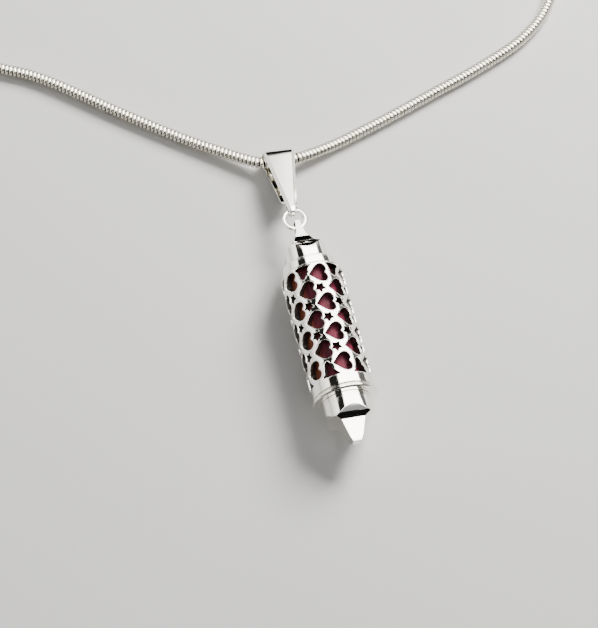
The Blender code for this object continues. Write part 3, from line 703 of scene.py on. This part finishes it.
spots = flat_points[triangles].copy()
spots[:, 1:, 0] = spots[:, :1, 0] + (spots[:, 1:, 0] - spots[:, :1, 0] + girth / 2) % girth - girth / 2
middles = spots.mean(1)
on_low = (flat_points[triangles][:, :, 1] <= low_edge + 1e-6).all(1)
keep = ~covered(middles, -1e-4) & ~on_low
triangles = triangles[keep]

sleeve_points = []
sleeve_faces = []
sleeve_looks = []


def wall_row(places, radius):
    """Points of the unrolled wall, rolled up at a radius."""
    first = len(sleeve_points)
    for u, v in places:
        a = u / outer
        sleeve_points.append(on_case(radius * math.sin(a), sleeve_y + v, radius * math.cos(a)))
    return list(range(first, first + len(places)))


def between(low, high, look):
    """Closes the wall from one row of points to the next, either polished or in the wall's painted shade."""
    for k in range(len(low)):
        n = (k + 1) % len(low)
        sleeve_faces.append((low[k], low[n], high[n], high[k]))
        sleeve_looks.append(look)


face_row = wall_row(flat_points, outer)
bore_row = wall_row(flat_points, inside)
for a, b, c in triangles:
    sleeve_faces.append((face_row[a], face_row[b], face_row[c]))
    sleeve_faces.append((bore_row[c], bore_row[b], bore_row[a]))
    sleeve_looks += [0, 1]
for loop, (u, v, outline, share) in zip(loops, openings):
    edge = [face_row[i] for i in loop]
    for part, radius, look in ((0.55, 4.975, 0), (0.18, 4.91, 0), (0.0, 4.80, 0), (0.0, 4.45, 1)):
        row = wall_row(grown(outline, share * part) + np.array((u, v)), radius)
        between(edge, row, look)
        edge = row
    between(edge, [bore_row[i] for i in loop], 1)
for rim, ends in ((rims[0], ((0.03, outer - 0.03), (0.0, outer - 0.10), (0.0, inside))),
                  (rims[1], ((sleeve_length - 0.06, outer - 0.05), (sleeve_length, outer - 0.2),
                             (sleeve_length, inside)))):
    edge = [face_row[i] for i in rim]
    for v, radius in ends:
        row = wall_row([(girth * k / around, v) for k in range(around)], radius)
        between(edge, row, 0)
        edge = row
    between(edge, [bore_row[i] for i in rim], 0)
# Near-black silver on the openings' walls and the bore: painted shade for the dark inside the openings.
shade_painted_wall = silver("sawn_wall", (0.085, 0.08, 0.075), 0.4, 0.25)
sleeve = piece_from("pierced_sleeve", sleeve_points, sleeve_faces, polished, shade_painted_wall)
sleeve.data.polygons.foreach_set("material_index", sleeve_looks)
sleeve.data.set_sharp_from_angle(angle=math.radians(50.0))
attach(sleeve, "case")
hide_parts("openwork_sleeve")

# ------------------------------------------------------------------------------- the liner
# A maroon enamelled tube inside the sleeve: it closes the openings from behind and guards the
# scroll. Its colour is drawn out in fine streaks along the tube.
maroon, tree, shader = new_material("maroon_enamel")
shader.inputs["Specular IOR Level"].default_value = 0.16
shader.inputs["Roughness"].default_value = 0.42
place = node(tree, "ShaderNodeTexCoord")
drawn = node(tree, "ShaderNodeMapping", at={"Scale": (5200.0, 420.0, 5200.0)})
streaks = node(tree, "ShaderNodeTexNoise", at={"Scale": 1.0, "Detail": 4.0, "Roughness": 0.65})
tones = ramp_of(tree, (0.36, (0.045, 0.006, 0.012)), (0.66, (0.225, 0.03, 0.058)))
# Towards the tube's -X side the colour turns orange-brown: a painted warm reflection of light from the left.
painted_reflection_tones = ramp_of(tree, (0.36, (0.09, 0.018, 0.010)), (0.66, (0.47, 0.14, 0.07)))
sides_of = node(tree, "ShaderNodeSeparateXYZ")
# Mask of the painted reflection: full on the -X side of the tube.
painted_reflection_mask = node(tree, "ShaderNodeMapRange", at={"From Min": -0.0019, "From Max": -0.0030})
painted_reflection_mix = node(tree, "ShaderNodeMix", data_type="RGBA")
wired(tree, (place.outputs["Object"], drawn.inputs["Vector"]),
      (drawn.outputs["Vector"], streaks.inputs["Vector"]), (streaks.outputs["Fac"], tones.inputs["Fac"]),
      (streaks.outputs["Fac"], painted_reflection_tones.inputs["Fac"]),
      (place.outputs["Object"], sides_of.inputs["Vector"]), (sides_of.outputs["X"], painted_reflection_mask.inputs["Value"]),
      (painted_reflection_mask.outputs["Result"], painted_reflection_mix.inputs["Factor"]),
      (tones.outputs["Color"], painted_reflection_mix.inputs[6]), (painted_reflection_tones.outputs["Color"], painted_reflection_mix.inputs[7]),
      (painted_reflection_mix.outputs[2], shader.inputs["Base Color"]))
liner = turned("enamelled_liner", [(1.62, 3.62), (1.62, 3.70), (1.67, 3.75), (sleeve_length - 0.15, 3.75),
                                   (sleeve_length - 0.1, 3.70), (sleeve_length - 0.1, 3.35), (3.1, 3.35),
                                   (3.1, 3.62)], sleeve_y, maroon, loop=True)
liner.data.set_sharp_from_angle(angle=math.radians(40.0))
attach(liner, "case")
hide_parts("liner_tube")

# ----------------------------------------------------------------------- the threaded bush
# A short silver bush soldered in the sleeve's lower end, tapped for the screw cap. Its upper part
# is turned down, and the liner is pushed on over it.
bush = turned("tapped_bush", [(0.0, 3.3), (0.0, 3.70), (0.05, 3.75), (1.55, 3.75), (1.55, 3.55), (2.9, 3.55),
                              (2.9, 3.3)], sleeve_y, polished, loop=True)
bush.data.set_sharp_from_angle(angle=math.radians(40.0))
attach(bush, "case")
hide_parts("threaded_bush")

# ------------------------------------------------------------------ the scroll and its tie
# A narrow strip of parchment, rolled up from one end and left blank, with a band of linen tape
# sewn round its middle. It slides out of the liner when the cap is off.
parchment, tree, shader = new_material("parchment")
shader.inputs["Roughness"].default_value = 0.78
shader.inputs["Specular IOR Level"].default_value = 0.25
place = node(tree, "ShaderNodeTexCoord")
clouds = node(tree, "ShaderNodeTexNoise", at={"Scale": 260.0, "Detail": 6.0, "Roughness": 0.6})
hide = ramp_of(tree, (0.3, (0.50, 0.36, 0.19)), (0.7, (0.74, 0.60, 0.38)))
pores = node(tree, "ShaderNodeTexVoronoi", at={"Scale": 4200.0})
grain = node(tree, "ShaderNodeBump", at={"Strength": 0.35, "Distance": 0.00002})
wired(tree, (place.outputs["Object"], clouds.inputs["Vector"]), (clouds.outputs["Fac"], hide.inputs["Fac"]),
      (hide.outputs["Color"], shader.inputs["Base Color"]), (place.outputs["Object"], pores.inputs["Vector"]),
      (pores.outputs["Distance"], grain.inputs["Height"]), (grain.outputs["Normal"], shader.inputs["Normal"]))
scroll_low, scroll_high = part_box("parchment_scroll")
scroll_y = scroll_low.y / mm
scroll_length = (scroll_high.y - scroll_low.y) / mm
turns = 3.2
leaf = 0.30
core = 1.06
roll_radius = 2.75
steps = 220
section = []
for side in (1, -1):
    order = range(steps + 1) if side > 0 else range(steps, -1, -1)
    for k in order:
        a = 2 * math.pi * turns * k / steps
        thin = 0.4 if k in (0, steps) else 1.0
        r = core + (roll_radius - leaf / 2 - core) * k / steps + side * leaf / 2 * thin
        section.append((r * math.sin(a), r * math.cos(a)))
count = len(section)
rows = (0.0, 0.06, scroll_length / 3, scroll_length * 2 / 3, scroll_length - 0.06, scroll_length)
scroll_points = []
for k, y in enumerate(rows):
    tuck = 0.99 if k in (0, len(rows) - 1) else 1.0
    scroll_points += [on_case(x * tuck, scroll_y + y, z * tuck) for x, z in section]
scroll_faces = bands(len(rows), count)
for first in (0, (len(rows) - 1) * count):
    scroll_faces += [[first + k, first + k + 1, first + count - 2 - k, first + count - 1 - k]
                     for k in range(steps)]
scroll = piece_from("rolled_parchment", scroll_points, scroll_faces, parchment)
scroll.data.set_sharp_from_angle(angle=math.radians(50.0))
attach(scroll, "scroll")
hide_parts("parchment_scroll")

linen, tree, shader = new_material("linen_tape")
shader.inputs["Roughness"].default_value = 0.9
shader.inputs["Sheen Weight"].default_value = 0.2
place = node(tree, "ShaderNodeUVMap", uv_map="weave")
warp = node(tree, "ShaderNodeTexWave", bands_direction="X", at={"Scale": 14.0, "Distortion": 0.5})
weft = node(tree, "ShaderNodeTexWave", bands_direction="Y", at={"Scale": 3.2, "Distortion": 0.5})
cloth = node(tree, "ShaderNodeMath", operation="MULTIPLY")
threads = ramp_of(tree, (0.0, (0.40, 0.33, 0.23)), (1.0, (0.72, 0.64, 0.50)))
raised = node(tree, "ShaderNodeBump", at={"Strength": 0.5, "Distance": 0.00003})
wired(tree, (place.outputs["UV"], warp.inputs["Vector"]), (place.outputs["UV"], weft.inputs["Vector"]),
      (warp.outputs["Fac"], cloth.inputs[0]), (weft.outputs["Fac"], cloth.inputs[1]),
      (cloth.outputs["Value"], threads.inputs["Fac"]),
      (threads.outputs["Color"], shader.inputs["Base Color"]),
      (cloth.outputs["Value"], raised.inputs["Height"]), (raised.outputs["Normal"], shader.inputs["Normal"]))
tie_low, tie_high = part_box("scroll_tie")
tie_y = tie_low.y / mm
tie_wide = (tie_high.y - tie_low.y) / mm
tie_in, tie_out = 2.87, 3.07
tie = turned("tape_round_scroll", eased([
    (0.0, tie_in), (0.0, tie_out), (tie_wide, tie_out), (tie_wide, tie_in)], 0.06)[1:-1] +
    [(tie_wide, tie_in), (0.0, tie_in)], tie_y, linen, loop=True)
weave = tie.data.uv_layers.new(name="weave")
for corner in tie.data.loops:
    spot = tie.data.vertices[corner.vertex_index].co / mm
    weave.data[corner.index].uv = (math.atan2(spot.x, spot.z - axis_z) * 3.0, spot.y - tie_y)
tie.data.set_sharp_from_angle(angle=math.radians(50.0))
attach(tie, "scroll")
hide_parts("scroll_tie")

# ---------------------------------------------------------------------------- the rim ring
# A bright turned silver ring between the sleeve and the screw cap: a bead with a groove behind
# it. It slips over the cap's thread and is clamped as the cap is screwed home.
rim_low, rim_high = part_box("rim_ring")
rim_y = rim_low.y / mm
rim_outer = 5.2
bead = [(0.0, 3.3), (0.0, 4.75), (0.04, 4.90), (0.10, 5.05), (0.18, 5.15), (0.28, rim_outer), (0.37, 5.18),
        (0.44, 5.09), (0.465, 4.86), (0.50, 4.80), (0.545, 4.80), (0.575, 4.86), (0.60, 4.99), (0.66, 5.05),
        (0.72, 5.03), (0.77, 4.97), (0.80, 4.86), (0.80, 3.3)]
rim = turned("turned_rim", bead, rim_y, polished, loop=True)
rim.data.set_sharp_from_angle(angle=math.radians(52.0))
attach(rim, "rim")
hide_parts("rim_ring")

# -------------------------------------------------------------------------- the screw cap
# A solid turned cap with a cut thread above and a finial below it, filed to four facets that
# leave a lens of each side, a steep band and a long taper down to a blunt square end.
cap_low, cap_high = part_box("bottom_cap")
tip_y = cap_low.y / mm
skirt_y = tip_y + 4.9
cap_radius = 3.9
cap = turned("screw_cap", [(-6.0, 0.0), (-6.0, cap_radius), (2.20, cap_radius), (2.26, cap_radius - 0.06),
                           (2.26, 3.02), (5.84, 3.02), (5.9, 2.96), (5.9, 0.0)], skirt_y, polished)
cap_facet_half = 2.2
flat = math.sqrt(cap_radius ** 2 - cap_facet_half ** 2)
blank = four_sided([(skirt_y - y, h, h) for y, h in (
    (-8.0, 8.0), (-1.6, 8.0), (-1.0, cap_radius + (cap_radius - flat) / 0.9), (0.9, flat), (1.49, 1.93),
    (4.15, 1.08), (4.9, 0.65))][::-1])
finial_tool = cut(cap, "INTERSECT", blank, "finial_blank")
cap = dressed(cap, (finial_tool,), 0.06, 13.0)
cap.data.materials.clear()
cap.data.materials.append(polished)
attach(cap, "bottom_cap")
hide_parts("bottom_cap")
thread_low = skirt_y + 3.3
thread_high = cap_high.y / mm - 0.1
thread_pitch = 0.5
around = 56
coils = (thread_high - thread_low - 0.28) / thread_pitch
steps = int(coils * around)
ridge = []
for k in range(steps + 1):
    a = 2 * math.pi * k / around
    y = thread_low + thread_pitch * k / around
    lift = min(1.0, 0.15 + k / 18, 0.15 + (steps - k) / 18)
    for along_axis, r in ((0.0, 2.9), (0.04, 3.02), (0.13, 3.02 + 0.17 * lift), (0.18, 3.02 + 0.17 * lift),
                          (0.27, 3.02), (0.31, 2.9)):
        ridge.append(on_case(r * math.sin(a), y + along_axis - 0.02, r * math.cos(a)))
thread_faces = bands(steps + 1, 6) + [[0, 1, 2, 3, 4, 5], [steps * 6 + 5 - k for k in range(6)]]
thread = piece_from("cut_thread", ridge, thread_faces, polished)
thread.data.set_sharp_from_angle(angle=math.radians(35.0))
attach(thread, "bottom_cap")

# ------------------------------------------------------- the chain's ends and its clasp
# Each end of the chain is soldered in a turned cap with a flat eye, and a small closed ring
# joins the eye to the clasp or hangs free for the clasp to catch. The lobster clasp is cast,
# with a sprung lever on a riveted pin; every edge is tumbled soft.


def tumbled(node_name, name, edge, material, body):
    """A copy of a plain piece with its edges worn round, riding where the plain one does."""
    base = next(o for o in bpy.context.scene.objects if o.name == node_name)
    mesh = base.data.copy()
    shape = bmesh.new()
    shape.from_mesh(mesh)
    shape.transform(base.matrix_world)
    bmesh.ops.remove_doubles(shape, verts=shape.verts, dist=2e-6)
    bmesh.ops.dissolve_limit(shape, angle_limit=math.radians(1.0), verts=shape.verts, edges=shape.edges)
    bmesh.ops.recalc_face_normals(shape, faces=shape.faces)
    shape.to_mesh(mesh)
    shape.free()
    mesh.materials.clear()
    mesh.materials.append(material)
    mesh.name = name
    piece = bpy.data.objects.new(name, mesh)
    bpy.context.scene.collection.objects.link(piece)
    worn = piece.modifiers.new("worn_edges", "BEVEL")
    worn.width = edge * mm
    worn.segments = 2
    worn.limit_method = "ANGLE"
    worn.angle_limit = math.radians(25.0)
    piece = settled(piece, 42.0)
    if not len(piece.data.materials):
        piece.data.materials.append(material)
    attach(piece, body)
    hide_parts(node_name)
    return piece


fittings = silver("clasp_silver", (0.93, 0.905, 0.83), 0.09, 0.12)
on_chain = [tumbled("end_cap_clasp", "clasp_end_cap", 0.07, fittings, "chain"),
            tumbled("end_cap_tail", "tail_end_cap", 0.07, fittings, "chain"),
            tumbled("clasp_body", "lobster_body", 0.10, fittings, "clasp"),
            tumbled("clasp_lever", "lobster_lever", 0.07, fittings, "clasp_lever"),
            tumbled("clasp_pin", "lever_rivet", 0.04, fittings, "clasp")]
for small, name in (("clasp_ring", "clasp_side_ring"), ("tail_ring", "tail_side_ring")):
    on_chain.append(tumbled(small, name, 0.02, fittings, "chain"))

# ----------------------------------------------------------------------- the studio
# A plain pale tabletop under a soft even light. What polished silver shows is the room: white
# panels with black gaps between them on one side, open grey on the other.
table = piece_from("tabletop", [(-0.6, -0.6, 0.0), (0.7, -0.6, 0.0), (0.7, 0.8, 0.0), (-0.6, 0.8, 0.0)],
                   [(0, 1, 2, 3)], smooth=False)
pale, tree, shader = new_material("pale_board")
shader.inputs["Roughness"].default_value = 0.85
shader.inputs["Specular IOR Level"].default_value = 0.1
place = node(tree, "ShaderNodeTexCoord")
fibre = node(tree, "ShaderNodeTexNoise", at={"Scale": 900.0, "Detail": 4.0})
paper = ramp_of(tree, (0.0, (0.735, 0.728, 0.715)), (1.0, (0.765, 0.758, 0.745)))
wired(tree, (place.outputs["Object"], fibre.inputs["Vector"]), (fibre.outputs["Fac"], paper.inputs["Fac"]),
      (paper.outputs["Color"], shader.inputs["Base Color"]))
table.data.materials.append(pale)

world = bpy.data.worlds.new("studio")
bpy.context.scene.world = world
world.use_nodes = True
tree = world.node_tree
tree.nodes.clear()


def toned(tree, stops, from_degrees=False):
    """A colour ramp from (place, brightness, tint); a place may be an angle round the case."""
    return ramp_of(tree, *(((place + 180.0) / 360.0 if from_degrees else place,
                            tuple(level * part for part in tint)) for place, level, tint in stops))


warm, bright, plain, cool = (1.0, 0.985, 0.945), (1.0, 0.995, 0.965), (1.0, 1.0, 1.0), (0.97, 0.97, 1.03)
panels = toned(tree, (
    (-180, 0.30, plain), (-92, 0.45, warm), (-88, 1.1, warm), (-52, 3.2, warm), (-48, 0.02, plain),
    (-17, 0.02, plain), (-12, 11.0, bright), (58, 11.0, bright), (63, 0.20, plain), (88, 0.17, plain),
    (94, 0.9, warm), (120, 0.5, warm), (180, 0.30, plain)), from_degrees=True)
end_tones = toned(tree, (
    (0.0, 0.02, plain), (0.055, 0.02, plain), (0.085, 0.50, cool), (0.17, 0.42, cool), (0.24, 1.2, plain),
    (0.5, 7.0, bright), (0.86, 5.0, bright), (0.885, 4.0, bright), (0.9, 0.02, plain), (1.0, 0.02, plain)))
end_sides = toned(tree, (
    (-180, 0.12, plain), (-80, 0.35, plain), (-45, 0.30, plain), (-32, 0.03, plain), (-24, 0.05, plain),
    (-14, 1.0, plain), (34, 1.0, plain), (44, 0.05, plain), (56, 0.08, plain), (70, 0.45, plain),
    (180, 0.12, plain)), from_degrees=True)
ray = node(tree, "ShaderNodeLightPath")
heading = node(tree, "ShaderNodeTexCoord")
parts = node(tree, "ShaderNodeSeparateXYZ")
round_angle = node(tree, "ShaderNodeMath", operation="ARCTAN2")
as_share = node(tree, "ShaderNodeMapRange", at={"From Min": -math.pi, "From Max": math.pi})
ends = node(tree, "ShaderNodeMapRange", at={"From Min": -1.0, "From Max": 1.0})
end_light = node(tree, "ShaderNodeMix", data_type="RGBA", blend_type="MULTIPLY", at={"Factor": 1.0})
side_share = node(tree, "ShaderNodeMath", operation="ABSOLUTE")
near_end = node(tree, "ShaderNodeMapRange", at={"From Min": 0.50, "From Max": 0.62})
shared = node(tree, "ShaderNodeMix", data_type="RGBA")
soft = node(tree, "ShaderNodeMix", data_type="RGBA",
            at={6: (0.34, 0.34, 0.343, 1.0), 7: (0.62, 0.615, 0.605, 1.0)})
seen = node(tree, "ShaderNodeMix", data_type="RGBA")
glow = node(tree, "ShaderNodeBackground", at={"Strength": 1.0})
sky = node(tree, "ShaderNodeOutputWorld")
wired(tree, (heading.outputs["Generated"], parts.inputs["Vector"]),
      (parts.outputs["X"], round_angle.inputs[0]), (parts.outputs["Z"], round_angle.inputs[1]),
      (round_angle.outputs["Value"], as_share.inputs["Value"]),
      (as_share.outputs["Result"], panels.inputs["Fac"]), (parts.outputs["Y"], ends.inputs["Value"]),
      (as_share.outputs["Result"], end_sides.inputs["Fac"]),
      (ends.outputs["Result"], end_tones.inputs["Fac"]),
      (end_tones.outputs["Color"], end_light.inputs[6]), (end_sides.outputs["Color"], end_light.inputs[7]),
      (parts.outputs["Y"], side_share.inputs[0]), (side_share.outputs["Value"], near_end.inputs["Value"]),
      (near_end.outputs["Result"], shared.inputs["Factor"]), (panels.outputs["Color"], shared.inputs[6]),
      (end_light.outputs[2], shared.inputs[7]), (ray.outputs["Is Camera Ray"], soft.inputs["Factor"]),
      (ray.outputs["Is Glossy Ray"], seen.inputs["Factor"]), (soft.outputs[2], seen.inputs[6]),
      (shared.outputs[2], seen.inputs[7]), (seen.outputs[2], glow.inputs["Color"]),
      (glow.outputs["Background"], sky.inputs["Surface"]))

key = bpy.data.lights.new("soft_key", "AREA")
key.shape = "RECTANGLE"
key.size = 0.22
key.size_y = 0.22
key.energy = 6.0
key.color = (1.0, 0.99, 0.97)
lamp = bpy.data.objects.new("soft_key", key)
bpy.context.scene.collection.objects.link(lamp)
lamp.location = (0.26, 0.26, 0.30)
lamp.rotation_euler = (Vector((0.0, 0.0, 0.0)) - lamp.location).to_track_quat("-Z", "Y").to_euler()
lamp.visible_glossy = False

# Two black cards lie flat beyond the ends of the case. Only its polished faces see them.
black, tree, shader = new_material("black_card")
shader.inputs["Base Color"].default_value = (0.004, 0.004, 0.004, 1.0)
shader.inputs["Specular IOR Level"].default_value = 0.0
card_height = 0.0003
for name, low, high in (
        ("tip_card", (-0.020, -0.090), (0.040, -0.0335)), ("lug_card", (-0.006, 0.0145), (0.010, 0.0215))):
    corners = [(low[0], low[1]), (high[0], low[1]), (high[0], high[1]), (low[0], high[1])]
    card = piece_from(name, [(x, y, card_height) for x, y in corners], [(0, 1, 2, 3)], black, smooth=False)
    card.visible_camera = card.visible_diffuse = card.visible_shadow = False
